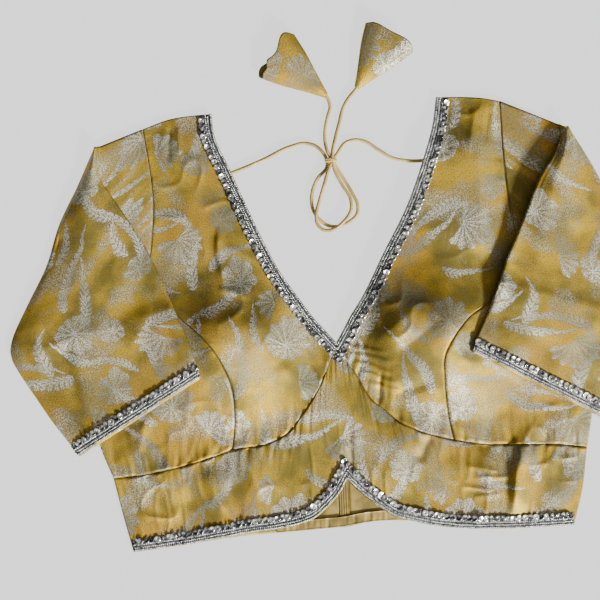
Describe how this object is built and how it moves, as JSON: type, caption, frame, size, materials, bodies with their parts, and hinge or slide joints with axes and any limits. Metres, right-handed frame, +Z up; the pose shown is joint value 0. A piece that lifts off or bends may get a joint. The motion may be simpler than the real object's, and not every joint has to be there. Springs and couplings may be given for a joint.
{
  "type": "choli blouse",
  "caption": "Elbow-sleeve choli blouse with padded cups, deep V neck, sequin-edged hems, back ties and cone tassels, laid flat with its front up.",
  "frame": {"origin": "middle of the cloth's bounding box in X and Y, on the surface that the blouse lies on; the tie cords and tassels are left out of that box", "axes": "+X across the body towards the wearer's left sleeve, which is on the right seen from above; +Y from hem to shoulders; +Z up, out of the front; node names call the side of -X left"},
  "size_m": [0.5645, 0.4482, 0.0235],
  "materials": {
    "brocade": "gold silk brocade with silver-grey floral figures",
    "lining": "plain olive-gold satin lining side",
    "sequin_trim": "silver sequin lace with metallic thread",
    "cord": "round covered satin cord"
  },
  "bodies": {
    "root": {"back_hem_facing": "lining", "back_left": "lining", "back_placket": "lining", "back_right": "lining", "dori_knot": "cord", "dori_lead_left": "cord", "dori_lead_right": "cord", "dori_loop_left": "cord", "dori_loop_right": "cord", "dori_tail_left": "cord", "dori_tail_right": "cord", "front_bust_left": "brocade", "front_bust_right": "brocade", "front_midriff": "brocade", "front_side_left": "brocade", "front_side_right": "brocade", "hem_trim_left": "sequin_trim", "hem_trim_right": "sequin_trim", "neck_trim_left": "sequin_trim", "neck_trim_right": "sequin_trim", "sleeve_left": "brocade", "sleeve_right": "brocade", "sleeve_trim_left": "sequin_trim", "sleeve_trim_right": "sequin_trim", "tassel_left": "brocade", "tassel_right": "brocade"}
  },
  "joints": []
}
